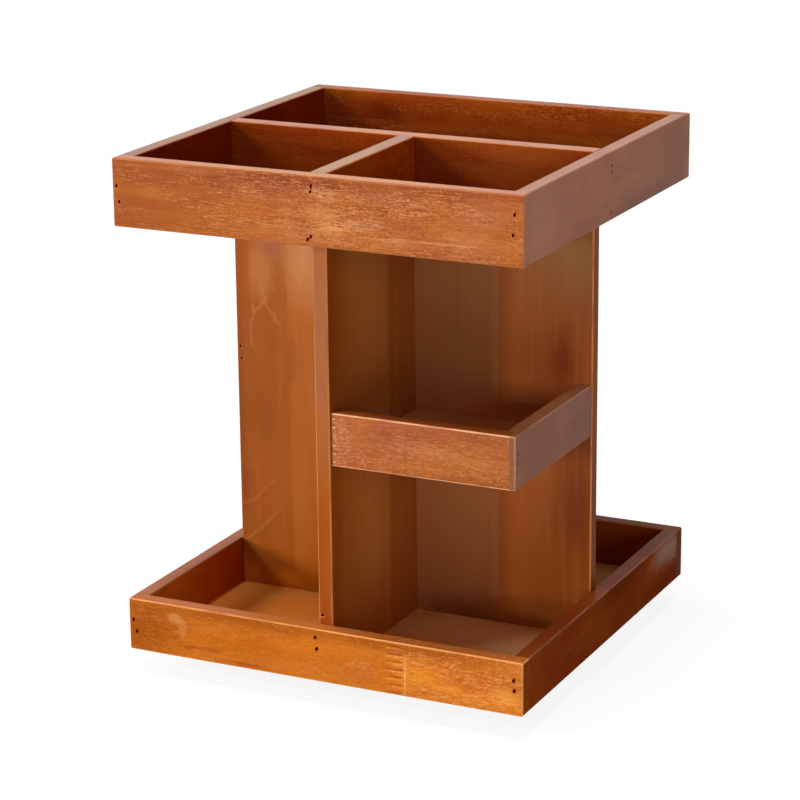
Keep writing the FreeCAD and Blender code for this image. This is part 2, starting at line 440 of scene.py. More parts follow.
@dataclass(frozen=True)
class WoodFinish:
    """Fine-grained wood under a thin red-brown stain and satin lacquer."""

    name: str
    red: str = "a8522a"
    amber: str = "b8662a"
    pale: str = "cc8450"
    pore: str = "7c3c1c"
    worn: str = "e09a5e"
    end: str = "e4dcd8"
    blotch: float = 36.0
    streaks: float = 0.15
    lines: float = 0.3
    flecks: float = 0.5
    drift: float = 1.0
    arris: float = 0.8
    roughness: float = 0.42
    coat: float = 0.3
    end_coat: float = 0.0
    top_coat: float = 1.0
    coat_roughness: float = 0.35
    relief: float = 0.05
    bump: float = 0.6


@dataclass(frozen=True)
class Board:
    """A carried-over piece of wood: how its grain runs and what marks it has."""

    node: str
    grain: Axis
    finish: WoodFinish
    patches: tuple[Patch, ...] = ()
    staves: Staves | None = None
    fingers: FingerMarks | None = None
    flames: Flames | None = None
    hollow: Hollow | None = None
    # Multiplied into the up-facing faces: their own tone together with painted light and shade.
    top: str = "ffffff"


class WoodShader:
    """Builds the material of one board, layer by layer."""

    def __init__(self, board: Board, shift: float) -> None:
        """Start from the bare stain.

        Args:
            board: the board to dress.
            shift: distance in millimetres that moves its patterns, so no two match.
        """
        self.board = board
        self.wood = board.finish
        self.shift = shift
        self.graph = Graph.of_material(f"{board.node}_{board.finish.name}")
        self.place = self.graph.place()
        size = self.wood.blotch
        share = self.read(Figure(size * 1.7, size, 3.0, 0.55, 0.3)).step(0.34, 0.66)
        self.colour = self.graph.blend(share, stain(self.wood.red), stain(self.wood.amber))

    def read(self, figure: Figure) -> Term:
        """Read a noise from place to place on the board.

        Args:
            figure: the noise.

        Returns:
            A term that stays mostly between 0.3 and 0.7.
        """
        scale = [1 / figure.across] * 3
        scale[self.board.grain.value] = 1 / figure.along
        shift = self.shift + figure.apart
        local = self.graph.move(self.place, (shift, shift * 0.7, shift * 1.3), tuple(scale))
        return self.graph.noise(local, figure.detail, figure.rough, figure.warp)

    def lay(self, share: Value, code: str, mode: str = "MIX") -> None:
        """Lay a colour over the board."""
        self.colour = self.graph.blend(share, self.colour, stain(code), mode)

    def spot(self, patch: Patch) -> Term:
        """How much of a patch covers a point.

        Args:
            patch: the patch.

        Returns:
            A share between 0 and 1, with a ragged edge.
        """
        scale = tuple(1 / reach for reach in patch.reach)
        local = self.graph.move(self.place, tuple(-c for c in patch.centre), scale)
        settings = {"operation": "LENGTH"}
        distance = self.graph.node("VectorMath", settings, (local,), output="Value")
        edge = distance + (self.read(RAGGED) - 0.5) * (2 * patch.ragged)
        return edge.step(1.0, 1.0 - patch.edge)

    def add_staves(self, staves: Staves) -> None:
        """Stain a panel stave by stave.

        Args:
            staves: places and stains of the strips.
        """
        graph = self.graph
        wave = (self.read(STAVE_WAVE) - 0.5) * staves.wave
        across = graph.parts(self.place)[staves.across.value] + wave
        low, high = staves.stops[0][0], staves.stops[-1][0]
        stops = [((place - low) / (high - low), code) for place, code in staves.stops]
        ramp = graph.node("ValToRGB", {"stops": stops}, ((across - low) / (high - low),))
        self.colour = graph.blend(staves.share, self.colour, ramp)

    def add_fingers(self, marks: FingerMarks) -> None:
        """Draw the glue line of a finger joint as broken, pointed dashes.

        Args:
            marks: place and size of the dashes.
        """
        x, _, z = self.graph.parts(self.place)
        wander = (self.read(GLUE_WANDER) - 0.5) * marks.wander
        broken = self.read(GLUE_GAPS).step(0.38, 0.55) * 0.6 + 0.4
        along = (x - marks.start + wander) / marks.length
        inside = along.step(-0.05, 0.3) * along.step(1.06, 0.97)
        height = z - marks.foot + wander * 0.3
        lines = ((0.0, marks.colour, 1.0), (marks.glue_lift, marks.glue, marks.glue_share))
        for lift, colour, thick in lines:
            gap = (height + lift).zigzag(marks.pitch / 2)
            wide = (along.step(0.0, 0.9) * 0.6 + 0.4) * (marks.thickness * thick)
            share = (wide - gap).step(0.0, 0.5) * inside * broken
            self.lay(share * (marks.share * thick), colour)

    def add_flames(self, flames: Flames) -> None:
        """Draw pointed arches of grain, which fade out upwards.

        Args:
            flames: place and size of the arches.
        """
        parts = self.graph.parts(self.place)
        bend = (self.read(RING_BEND) - 0.5) * flames.bend
        offset = parts[flames.across.value] + bend * 0.4 - flames.centre
        aside = abs(offset)
        arch = (aside * (-1.0 / flames.width)).exp() * flames.rise
        level = parts[Axis.Z.value] + bend - arch - flames.foot
        line = level.zigzag(flames.spacing / 2).step(flames.line, 0.2)
        shade = (level + flames.line).zigzag(flames.spacing / 2).step(flames.shade, 0.5)
        reach = level.step(flames.spacing * 2.6, 0.0) * level.step(-flames.spacing, 0.0)
        near = aside.step(flames.width * 1.4, flames.width * 0.9) * reach
        aslant = offset.step(*flames.far_side) * (1.0 - flames.far_share) + flames.far_share
        near = near * aslant * self.read(RING_GAPS).step(0.3, 0.55)
        self.lay(shade * near * (flames.share * 0.5), self.wood.pore)
        self.lay(line * near * flames.share, flames.colour)

    def add_grain(self) -> None:
        """Lay soft streaks and fine dark and pale dashes over the stain."""
        wood = self.wood
        streak = self.read(STREAKS)
        self.lay(streak.step(0.52, 0.30) * wood.streaks, wood.pore)
        self.lay(streak.step(0.50, 0.72) * wood.streaks, wood.pale)
        self.fibre = self.read(FIBRES)
        dashes = self.fibre * 0.5 + self.read(DASHES) * 0.5
        drift = self.read(DRIFT).step(0.6 - wood.drift * 0.3, 0.6)
        for patch in self.board.patches:
            if patch.flecks:
                drift = drift + self.spot(patch) * patch.flecks
        drift = drift * 0.6 + 0.4
        self.lay(dashes.step(0.50, 0.38) * drift * wood.lines, wood.pore)
        self.lay(dashes.step(0.50, 0.62) * drift * wood.flecks, wood.pale)

    def add_edges(self) -> Term:
        """Darken the end grain, tint the up-facing faces, darken the hollow, and lighten the
        arrises, where stain rubs thin. The tint of the up-facing faces is partly painted light
        and shade, and the darker hollow is partly painted shade.

        Returns:
            Strength of the lacquer's sheen from place to place.
        """
        graph, wood, hollow = self.graph, self.wood, self.board.hollow
        raw = graph.node("TexCoord", output="Normal")
        normal = [abs(part) for part in graph.parts(raw)]
        end = normal[self.board.grain.value].step(*FACING)
        self.lay(end, wood.end, "MULTIPLY")
        up = normal[Axis.Z.value].step(*FACING)
        # The up-facing faces take the board's top tint: their own tone with painted light and
        # shade.
        self.lay(up, self.board.top, "MULTIPLY")
        coat = up * (wood.top_coat - wood.coat) + end * wood.end_coat + wood.coat
        slanted = normal[0].highest(normal[1]).highest(normal[2]).step(*SLANTED)
        if hollow is not None:
            x, y, z = graph.parts(self.place)
            away = abs(x).highest(abs(y))
            below = z.step(hollow.rim - 0.3, hollow.rim - 1.0)
            inside = away.step(hollow.reach + 0.5, hollow.reach + 0.2) * below
            # The inside of a tray is darker: its own stain with painted shade.
            self.lay(inside, hollow.colour, "MULTIPLY")
            coat = coat * (1.0 - inside)
            slanted = slanted * (away.step(hollow.reach + 2.0, hollow.reach + 1.0) * -0.8 + 1.0)
        rubbed = self.read(RUBBED).step(0.30, 0.55) * 0.6 + 0.4
        self.lay(slanted * rubbed * wood.arris, wood.worn)
        return coat

    def material(self) -> Material:
        """Lay every layer and end in the lacquer.

        Returns:
            The board's material.
        """
        if self.board.staves is not None:
            self.add_staves(self.board.staves)
        for patch in self.board.patches:
            self.lay(self.spot(patch) * patch.strength, patch.colour)
        if self.board.flames is not None:
            self.add_flames(self.board.flames)
        self.add_grain()
        if self.board.fingers is not None:
            self.add_fingers(self.board.fingers)
        coat = self.add_edges()
        sheen = (self.read(SHEEN) - 0.5) * 0.3
        rough = self.wood.roughness + sheen + (0.5 - self.fibre) * 0.15
        normal = self.graph.bump(self.fibre, self.wood.relief, self.wood.bump)
        return self.graph.finish(Base_Color=self.colour, Roughness=rough, Normal=normal,
                                 Specular_IOR_Level=0.0, Coat_Weight=coat,
                                 Coat_Roughness=self.wood.coat_roughness)


@dataclass(frozen=True)
class PlainFinish:
    """A finish of two close tones with a fine relief, for metal, rubber and mouldings."""

    name: str
    dark: str
    light: str
    grain: float
    roughness: float
    metallic: float = 0.0
    relief: float = 0.02
    gloss: float = 0.5

    def material(self) -> Material:
        """Make the material.

        Returns:
            The material, whose tone, sheen and relief vary a little.
        """
        graph = Graph.of_material(self.name)
        place = graph.place()
        fine = graph.noise(graph.move(place, (3.0, 5.0, 7.0), (1 / self.grain,) * 3), 4.0, 0.6)
        broad = graph.noise(graph.move(place, (9.0, 2.0, 4.0), (0.1 / self.grain,) * 3), 2.0)
        share = (fine * 0.6 + broad * 0.4).step(0.35, 0.65)
        return graph.finish(Base_Color=graph.blend(share, stain(self.dark), stain(self.light)),
                            Metallic=self.metallic, Specular_IOR_Level=self.gloss,
                            Roughness=self.roughness + (broad - 0.5) * 0.2,
                            Normal=graph.bump(fine, self.relief, 0.4))


class Workshop:
    """Modelling steps that the pieces share."""

    @staticmethod
    def clear() -> None:
        """Deselect every object before a new primitive is added."""
        bpy.ops.object.select_all(action="DESELECT")

    @staticmethod
    def cylinder(radius: float, low: float, high: float, corners: int) -> Piece:
        """Add a cylinder on the axis and go into edit mode.

        Args:
            radius: its radius.
            low: level of its lower end.
            high: level of its upper end.
            corners: corners round its rim.

        Returns:
            The cylinder, whose object sits at the origin.
        """
        Workshop.clear()
        bpy.ops.mesh.primitive_cylinder_add(vertices=corners, radius=radius * MM,
                                            depth=(high - low) * MM,
                                            location=(0, 0, (low + high) / 2 * MM))
        bpy.ops.object.transform_apply(location=True)
        Workshop.edit()
        return bpy.context.object

    @staticmethod
    def edit(mode: str = "EDIT") -> None:
        """Enter edit mode, or leave it with OBJECT."""
        bpy.ops.object.mode_set(mode=mode)

    @staticmethod
    def pick(wanted: Callable[[Vector, Vector], bool]) -> None:
        """Select faces of the piece in edit mode.

        Args:
            wanted: says of a face's centre, in millimetres, and normal if it is selected.
        """
        Workshop.edit("OBJECT")
        mesh = bpy.context.object.data
        mesh.vertices.foreach_set("select", [False] * len(mesh.vertices))
        mesh.edges.foreach_set("select", [False] * len(mesh.edges))
        for polygon in mesh.polygons:
            polygon.select = wanted(polygon.center / MM, polygon.normal)
        Workshop.edit()

    @staticmethod
    def copy(source: Piece, name: str, matrix: Matrix) -> Piece:
        """Copy a piece, with its own mesh moved into place.

        Args:
            source: the piece to copy.
            name: name of the copy.
            matrix: where the copy goes, applied to its mesh.

        Returns:
            The copy, whose object sits at the origin.
        """
        made = source.copy()
        made.data = source.data.copy()
        made.name = made.data.name = name
        made.data.transform(matrix)
        bpy.context.scene.collection.objects.link(made)
        return made

    @staticmethod
    def repeat(source: Piece, places: Sequence[Matrix], name: str) -> Piece:
        """Copy a piece to each place, join the copies and remove the pattern.

        Args:
            source: the pattern piece.
            places: where the copies go.
            name: name of the joined piece.

        Returns:
            The joined piece.
        """
        copies = [Workshop.copy(source, f"{name}_{i}", place) for i, place in enumerate(places)]
        Workshop.clear()
        for one in copies:
            one.select_set(True)
        bpy.context.view_layer.objects.active = copies[0]
        bpy.ops.object.join()
        whole = bpy.context.object
        whole.name = whole.data.name = name
        bpy.data.objects.remove(source)
        return whole

    @staticmethod
    def dress(piece: Piece, *materials: Material) -> None:
        """Give a piece its materials in place of any that it has."""
        piece.data.materials.clear()
        for material in materials:
            piece.data.materials.append(material)


@dataclass(frozen=True)
class Nail:
    """A nail's sunk hole: the face it is in, its place on it, and how it slants."""

    side: Side
    face: float
    along: float
    height: float
    slant: float = 20.0
    length: float = 4.0
    width: float = 2.7

    def opposite(self) -> "Nail":
        """The same nail after half a turn round the axis."""
        return replace(self, side=self.side.opposite(), along=-self.along)

    def matrix(self) -> Matrix:
        """Where the pattern hole goes.

        Returns:
            The matrix that lays a hole of unit size, facing up, on the face.
        """
        outward = Vector(self.side.value)
        level = Vector((0, 0, 1)).cross(outward)
        turn = Matrix((level, Vector((0, 0, 1)), outward)).transposed().to_4x4()
        spot = outward * self.face + Vector((abs(level.x), abs(level.y), 0)) * self.along
        spot.z = self.height
        slant = Matrix.Rotation(-math.radians(self.slant), 4, "Z")
        shape = Matrix.Diagonal((self.width, self.length, 1.0, 1.0))
        return Matrix.Translation(spot * MM) @ turn @ slant @ shape


@dataclass(frozen=True)
class NailHoles:
    """Sunk nail holes: an oval dark dish, which is painted shade in place of the hole's depth,
    with a rim of raised fibres; where the rim is pale, its wide side on the lower right is a
    painted highlight.
    """

    sides: int = 24
    rim_height: float = 0.12
    rim_width: float = 0.12
    dish_shift: float = 0.07
    dish_slope: float = 0.02
    dish_depth: float = 0.084
    # The default rim is pale: raised fibres together with a painted highlight.
    fibres: PlainFinish = PlainFinish("raised_fibres_and_painted_highlight", "a05228", "d08e58", 0.5, 0.7,
                                      relief=0.05, gloss=0.1)
    # The dish's dark tone is painted shade, in place of the depth of a hole.
    dish: PlainFinish = PlainFinish("nail_hole", "380000", "6a0800", 0.6, 0.9,
                                    relief=0.05, gloss=0.0)

    def _pattern(self) -> Piece:
        """Shape one hole, 1 mm long and wide, that faces up with its foot on z = 0.

        Returns:
            The pattern.
        """
        Workshop.clear()
        bpy.ops.mesh.primitive_circle_add(vertices=self.sides, radius=0.5 * MM,
                                          fill_type="NGON", location=(0, 0, 0))
        piece = bpy.context.object
        Workshop.edit()
        bpy.ops.mesh.select_all(action="SELECT")
        bpy.ops.mesh.extrude_region_move(
            TRANSFORM_OT_translate={"value": (0, 0, self.rim_height * MM)})
        bpy.ops.mesh.inset(thickness=self.rim_width * MM, depth=0)
        # The dish moves up and to the left, which leaves the rim widest on the lower right;
        # where the rim is pale, that is a painted highlight.
        bpy.ops.transform.translate(value=(-self.dish_shift * MM, self.dish_shift * MM, 0))
        bpy.ops.mesh.inset(thickness=self.dish_slope * MM, depth=-self.dish_depth * MM)
        Workshop.edit("OBJECT")
        Workshop.dress(piece, self.fibres.material(), self.dish.material())
        middle = Vector((-self.dish_shift, self.dish_shift)) * MM
        reach = (0.5 - self.rim_width + self.dish_slope) * MM
        mesh = piece.data
        for polygon in mesh.polygons:
            corners = (mesh.vertices[index].co.xy for index in polygon.vertices)
            polygon.material_index = int(all((c - middle).length < reach for c in corners))
        return piece

    def drive(self, nails: Sequence[Nail], name: str) -> Piece:
        """Make a hole for each nail and join them in one piece."""
        return Workshop.repeat(self._pattern(), [nail.matrix() for nail in nails], name)


@dataclass
class NailedGroup:
    """What the wooden sub-assemblies share: stained boards, and nails that hold them."""

    name: str
    shift: float
    slot: str = "tray_board"
    body: str = "carousel"
    holes: NailHoles = NailHoles()

    def boards(self) -> tuple[Board, ...]:
        """The boards, with their grain and marks."""
        raise NotImplementedError

    def nails(self) -> tuple[Nail, ...]:
        """The nails that show."""
        raise NotImplementedError

    def build(self) -> None:
        """Stain the boards and drive the nails."""
        boards = self.boards()
        for index, board in enumerate(boards):
            shader = WoodShader(board, self.shift + BOARD_SHIFT * index)
            Workshop.dress(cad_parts[board.node], shader.material())
        holes = self.holes.drive(self.nails(), f"{self.name}_nail_holes")
        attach(holes, self.body)
        LOG.info("%s: %d boards, %d nails", self.name, len(boards), len(self.nails()))


def tray_boards(reach: float, rim: float, rows: Rows) -> tuple[Board, ...]:
    """Boards round a tray or across it, which are stained another way inside.

    Args:
        reach: how far the tray's inside reaches from the axis.
        rim: level of its rim.
        rows: node, grain, finish, patches, inside tint (stain with painted shade) and top tint
            (tone with painted light and shade) of each board.

    Returns:
        The boards, in the rows' order.
    """
    return tuple(Board(node, grain, finish, patches, hollow=Hollow(reach, rim, inside), top=top)
                 for node, grain, finish, patches, inside, top in rows)


def both_ways(nails: Iterable[Nail]) -> tuple[Nail, ...]:
    """Nails, and the same ones after half a turn."""
    nails = tuple(nails)
    return nails + tuple(nail.opposite() for nail in nails)


TRAY_FRONT = WoodFinish("tray_front_stain", red="a24c1e", amber="b0601e", pale="d48c54",
                        worn="c08058", flecks=0.54, lines=0.58, drift=0.65, arris=0.4, coat=0.15,
                        end_coat=0.3)
TRAY_BACK = replace(TRAY_FRONT, name="tray_back_stain", top_coat=0.65)
TRAY_SIDE = WoodFinish("tray_side_stain", red="944620", amber="a05826", pale="b87c50",
                       worn="8c5c44", flecks=0.1, lines=0.12, streaks=0.1, roughness=0.36,
                       coat=0.45, arris=0.15)
LOW_FRONT = WoodFinish("low_front_stain", red="b86220", amber="c46c18", pale="d48c48",
                       pore="944414", worn="f0a460", end="e0ccc8", flecks=0.25, lines=0.32,
                       streaks=0.1, blotch=46.0, coat=0.05, top_coat=0.4)
LOW_BACK = WoodFinish("low_back_stain", red="9c5220", amber="a65c1c", pale="b87c48",
                      pore="944414", worn="8a5c48", end="a48490", flecks=0.15, lines=0.2,
                      streaks=0.1, blotch=46.0, coat=0.1, top_coat=0.24)
LOW_SHORT = WoodFinish("low_short_stain", red="c06820", amber="d07826", pale="eaa25c",
                       pore="a04c18", worn="f0a460", end="b09c9c", flecks=0.45, lines=0.5,
                       streaks=0.1, blotch=40.0, coat=0.1, end_coat=-0.1, top_coat=0.3)
LOW_SIDE = WoodFinish("low_side_stain", red="7c3010", amber="883c12", pale="9c5c34",
                      worn="a4705c", flecks=0.05, lines=0.1, streaks=0.1, roughness=0.36,
                      coat=0.0, top_coat=0.25, arris=0.9)
LOW_LEFT = WoodFinish("low_left_stain", red="b05c24", amber="b86828", pale="bc7c50",
                      worn="b46c40", flecks=0.05, lines=0.1, streaks=0.1, roughness=0.36,
                      coat=0.2, top_coat=0.6, arris=0.6)
PANEL = WoodFinish("panel_stain", red="a05020", amber="ac6024", pale="c08450", worn="d68a4c",
                   flecks=0.03, lines=0.06, streaks=0.09, blotch=60.0, relief=0.02, coat=0.14)
SHELF = WoodFinish("shelf_stain", red="a04e26", amber="ac5e20", pale="d69460", worn="ffbc88",
                   flecks=0.3, lines=0.4, drift=1.2, arris=0.9, top_coat=0.05)
SHELF_SIDE = WoodFinish("shelf_side_stain", red="80401e", amber="8c4c24", pale="a46c48",
                        worn="c48c68", end="fff0e8", flecks=0.06, lines=0.1, streaks=0.1,
                        roughness=0.36, coat=0.42, top_coat=0.38, arris=0.9)
# Lighter than the other stains, partly to make up for the little light that reaches the floors:
# painted light.
LOW_FLOOR = WoodFinish("low_floor_stain_and_painted_light", red="d49450", amber="dca05c", pale="e8b47c",
                       flecks=0.1, lines=0.1, streaks=0.08, blotch=70.0, top_coat=0.2)
FLOOR = WoodFinish("floor_stain", red="a0501c", amber="b06824", pale="c08850",
                   flecks=0.1, lines=0.1, streaks=0.1, blotch=70.0, top_coat=0.2)
DIVIDER = WoodFinish("divider_stain", pale="d49a68", worn="cc8c60", flecks=0.3, lines=0.3,
                     arris=0.5)


# Patches on the boards' faces, in rows that on_face reads.
TOP_FRONT: Rows = (
    (0, 364, 190, 11, "883c14", 0.8),
    (-125, 345, 85, 60, "8c4410", 0.3, 0.2, 1, -0.7),
    (112, 330, 45, 16, "cc8054", 0.35),
    (-128, 325, 56, 9, "984818", 0.6, 0.4),
    (-118, 347, 42, 8, "c07428", 0.5, 0.4),
    (-38, 357, 56, 14, "94482c", 0.5, 0.5, 0.9, 0.6),
    (58, 358, 52, 9, "aa6040", 0.4, 0.5, 0.9),
    (10, 343, 22, 8, "d08c4c", 0.6, 0.5, 0.8, 0.4),
    (8, 356, 17, 8, "cc8a5c", 0.5, 0.7, 0.9, 0.9),
    (52, 346, 72, 24, "b4683c", 0.25, 0.3, 1, 0.6),
    (0, 330, 60, 12, "c47c48", 0.4, 0.4),
    (90, 331.5, 38, 1.4, "d8985c", 0.6, 0.8, 0.9),
    (14, 335, 15, 6, "e0a050", 0.5, 0.5, 0.9, 0.4),
    (-145, 360, 14, 9, "7c3408", 0.4, 0.3, 0.9),
    (28, 337.5, 26, 5, "e4a468", 0.3, 0.5, 0.9, 0.4),
    (-16, 342, 14, 6, "d89450", 0.28, 0.5, 0.9, 0.4),
    (-70, 359, 22, 8, "7c3008", 0.35, 0.4, 0.9),
    (52, 355.5, 28, 5, "98502c", 0.4, 0.4, 0.9),
    (38, 340, 20, 5, "dc9c70", 0.35, 0.5, 0.9, 0.3),
    (62, 330, 24, 7, "d49464", 0.35, 0.4, 1, 0.3),
    (122, 352, 30, 16, "bc7c5c", 0.3),
)
TOP_BACK_TONE_AND_PAINTED_SHADE: Rows = (
    (-30, 350, 300, 60, "8c4410", 0.1, 0.1, 0.9, -0.5),
    # The next three rows darken the inner face at its left corner, along its foot and in a spot:
    # painted shade.
    (-139, 340, 70, 50, "6c2008", 0.6),
    (0, 338, 160, 9, "701c04", 0.5, 0.4),
    (-86, 351, 24, 16, "4c1000", 0.5, 0.2, 0.9),
)
TOP_RIGHT: Rows = (
    (-130, 345, 90, 70, "ac6a40", 0.6, 0.1),
    (130, 345, 110, 70, "7c3e20", 0.6, 0.1),
    (60, 321, 130, 20, "5c2c14", 0.6, 0.1),
)
LONG_LENGTH: Rows = (
    (-60, 53, 140, 11, "94480a", 0.8),
    (-138, 32, 52, 36, "924408", 0.85, 0.3, 0.9),
    (-113, 46, 9, 5, "d09050", 0.5, 0.9, 0.5),
    (-107, 38, 4, 9, "d09050", 0.4, 0.9, 0.7),
    (-64, 34, 52, 22, "b25a02", 0.7, 0.4),
    (-93, 26, 22, 2.6, "8c4018", 0.6, 1, 0.8),
    (-62, 20.5, 24, 2.2, "8c4018", 0.6, 1, 0.8),
    (40, 53, 50, 10, "8c4408", 0.6),
    (28, 34, 9, 3.5, "dc9458", 0.25, 1.4, 0.4, 1.2),
    (30, 27, 22, 14, "b85e26", 0.5, 0.4, 1, 0.3),
)
SHORT_LENGTH: Rows = (
    (80, 53, 80, 11, "984808", 0.85),
    (76, 34, 13, 6, "d8841c", 0.7, 0.6, 0.3, 0.2),
    (96, 28, 16, 3, "e89634", 0.6, 0.6, 0.9),
    (80, 22, 14, 3, "a85418", 0.6, 0.8, 0.9),
    (125, 22, 70, 12, "e48a28", 0.5, 0.4, 0.9, 0.3),
    (64.2, 32, 0.9, 22, "f0b474", 0.6, 0.3, 0.9),
    (137, 29, 14, 10, "f0a848", 0.5, 0.3, 0.9),
)
LOW_RIGHT: Rows = (
    (-130, 26, 80, 16, "8a3a16", 0.6, 0.2),
    (20, 50, 70, 12, "501800", 0.7),
    # The greyish spot at the far end near the top is a painted reflection in the lacquer.
    (122, 47, 48, 17, "9c7868", 0.9, 0.4, 0.9),
    (100, 25, 70, 8, "6c2818", 0.6, 0.4),
)
LOW_RIGHT_RIM: Rows = (
    (144.5, 30, 9, 120, "a44a18", 0.8, 0.1, 0.9),
    (144.5, 110, 9, 70, "5c3018", 0.6, 0.1, 0.6),
)
FLOOR_DUST_AND_PAINTED_LIGHT: Rows = (
    # The first four rows lift the shade on the floors of both bays: painted light.
    (-108, -45, 70, 95, "ffb450", 1, 0.1, 0.7),
    (-70, -42, 48, 60, "f29536", 0.9, 0.1, 0.9),
    (-112, -22, 20, 30, "ffc464", 0.9, 0.1, 0.8),
    (80, -30, 90, 60, "ffd0a0", 0.8, 0.2),
    # A pale ragged line of dust along the foot of the cross panel.
    (0, -3, 170, 8, "ffc080", 0.7, 0.9, 0.6),
    # A dark ragged band along the foot of the cross panel: painted shade.
    (0, -3, 170, 4, "7c3c10", 0.6, 1.6, 0.4),
)
PANEL_TONE_AND_PAINTED_LIGHT: Rows = (
    (-82, 285, 30, 66, "d89460", 0.8, 0.2),
    (-84, 302, 18, 24, "e4b080", 0.8, 0.2, 0.8),
    (-118, 262, 16, 36, "c07a3e", 0.65, 0.3, 0.8),
    (-110, 281, 17, 16, "a65e44", 0.6, 0.3, 0.9),
    (-115, 214, 14, 24.5, "ca844a", 0.55, 0.45, 0.2),
    (-114.6, 213, 13.2, 23.5, "9e531a", 0.95, 0.45, 0.2),
    (-107, 194, 24, 32, "9e531a", 0.95, 0.3, 0.5),
    (-118, 150, 30, 50, "8c4610", 0.4),
    # Darker at the right end of the bay below the shelf: painted shade.
    (128, 100, 30, 85, "641c00", 0.6, 0.2),
    (125, 298, 60, 56, "8a6438", 0.6, 0.2),
    # Lighter round the shelf's floor, deep in the shelf's shade: painted light.
    (70, 172, 72, 26, "e08848", 0.9, 0.1, 0.9),
    (-134, 95, 12, 30, "803c10", 0.5, 0.2),
    # Darker along the foot of the right bay, by the front upright: painted shade.
    (50, 21, 70, 26, "682a00", 0.7),
    (-139, 150, 9, 160, "7c3c14", 0.6, 0.2),
    (-75, 20, 100, 60, "a45400", 0.8, 0.1),
    (37, 230, 2.2, 24, "b88058", 0.4, 0.4, 0.9),
    # The next two rows darken the bay just above the shelf: painted shade.
    (108, 214, 50, 48, "7c3000", 0.5, 0.2),
    (117, 222, 14, 34, "641800", 0.6, 0.2),
    # Lighter in the lower left corner of the left bay: painted light.
    (-139, 26, 34, 34, "f0a448", 0.8, 0.2),
    (-106, 27, 22, 13, "d87c20", 0.8, 0.2, 0.9),
    # Lighter along the foot of the right bay, in the front board's shadow: painted light.
    (100, 24, 60, 18, "c87830", 0.8, 0.2, 0.8),
    (110, 60, 60, 50, "8a4000", 0.6),
)
SHELF_FRONT: Rows = (
    (75, 204, 90, 7, "a04c28", 0.4),
    (108, 170, 90, 11, "8c4000", 0.75, 0.4),
    (114, 202, 30, 10, "843c18", 0.5),
    (72, 188, 44, 8, "cc8044", 0.4, 0.2),
    (70, 174.5, 85, 8, "b46018", 0.4, 0.2),
    (11, 187, 11, 24, "bc7448", 0.5, 0.5, 0.9, 1.2),
)


@dataclass
class TopTray(NailedGroup):
    """The divided tray on top."""

    name: str = "top_tray"
    shift: float = 100.0
    half: float = 150.0
    inner: float = 139.0
    middle: float = 345.0
    rim: float = 368.0

    def boards(self) -> tuple[Board, ...]:
        """The boards, with their grain and marks."""
        front = on_face(Axis.Y, -self.half, DEEP, TOP_FRONT) + (
            Patch((0, -144.5, 368.5), (200, 8, RIM), "c47018", 0.85, 0.1, 0.5),
            Patch((self.half, -144.5, self.middle), (SKIN, 12, 60), "b47444", 0.7, 0, 0.3, -1))
        back = on_face(Axis.Y, self.inner, SHALLOW, TOP_BACK_TONE_AND_PAINTED_SHADE)
        right = on_face(Axis.X, self.half, DEEP, TOP_RIGHT)
        divider = (Patch((80, -5, 355), (75, SHALLOW, 30), "d48850", 0.8, 0.2),)
        # The last two columns tint the inside, its stain with painted shade, and the up-facing
        # faces, their tone with painted light and shade.
        table = (("top_front_board", Axis.X, TRAY_FRONT, front, "bc8c54", "ffffe4"),
                 ("top_back_board", Axis.X, TRAY_BACK, back, "e8d0a4", "d4c4a4"),
                 ("top_left_board", Axis.Y, TRAY_SIDE, (), "c0783c", "e4ffff"),
                 ("top_right_board", Axis.Y, TRAY_SIDE, right, "bc8c54", "f8ffff"),
                 ("top_long_divider", Axis.X, DIVIDER, divider, "cca070", "f4fcfc"),
                 ("top_short_divider", Axis.Y, DIVIDER, (), "f2bc5c", "dcfcff"),
                 ("top_floor", Axis.X, FLOOR, (), "bc8c54", "ffffff"))
        return tray_boards(self.inner, self.rim, table)

    def nails(self) -> tuple[Nail, ...]:
        """The nails that show."""
        long_slot = ((0.3, 361.0, 6.0, 5.0, 2.4), (-0.4, 357.4, 24.0, 4.2, 2.4))
        front = ((-146.5, 348.8), (-144.9, 338.0), (-2.9, 325.4), (-0.6, 327.4),
                 (143.7, 354.9), (142.6, 341.6))
        right = ((-1.8, 358.6), (-0.8, 353.9), (-1.4, 326.6))
        return both_ways(
            [Nail(Side.FRONT, self.half, *spot) for spot in long_slot + front]
            + [Nail(Side.RIGHT, self.half, *spot, 8.0, 3.0, 2.0) for spot in right])


